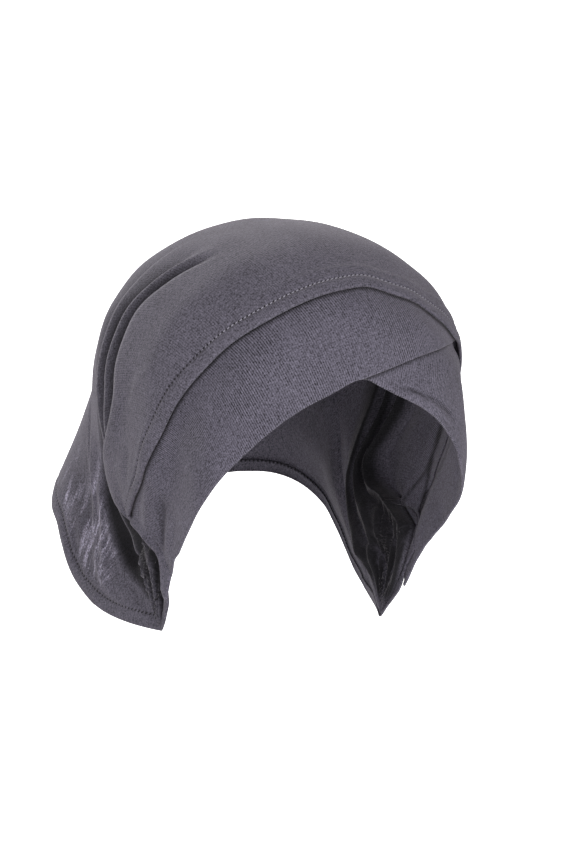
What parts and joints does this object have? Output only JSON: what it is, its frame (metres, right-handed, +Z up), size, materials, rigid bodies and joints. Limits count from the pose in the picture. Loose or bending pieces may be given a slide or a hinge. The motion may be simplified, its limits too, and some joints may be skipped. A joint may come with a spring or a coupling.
{
  "type": "pre-tied head wrap",
  "caption": "Soft hooded head wrap in grey jersey: crossed brow bands under a stitched crown edge, gathered sides, and a loose hemmed tail at the nape.",
  "frame": {"origin": "where the top of the wearer's head touches the inside of the crown", "axes": "+Z up, the wearer faces -Y, the wearer's right side is -X"},
  "size_m": [0.1618, 0.2343, 0.1905],
  "materials": {
    "crown_jersey": "fine heathered grey single jersey, matt with a faint sheen",
    "band_jersey": "the same jersey doubled, matt, with fine slanting knit ribs"
  },
  "bodies": {
    "root": {"crown": "crown_jersey", "front_hem": "crown_jersey", "back_hem": "crown_jersey", "right_band": "band_jersey", "left_band": "band_jersey"}
  },
  "joints": []
}
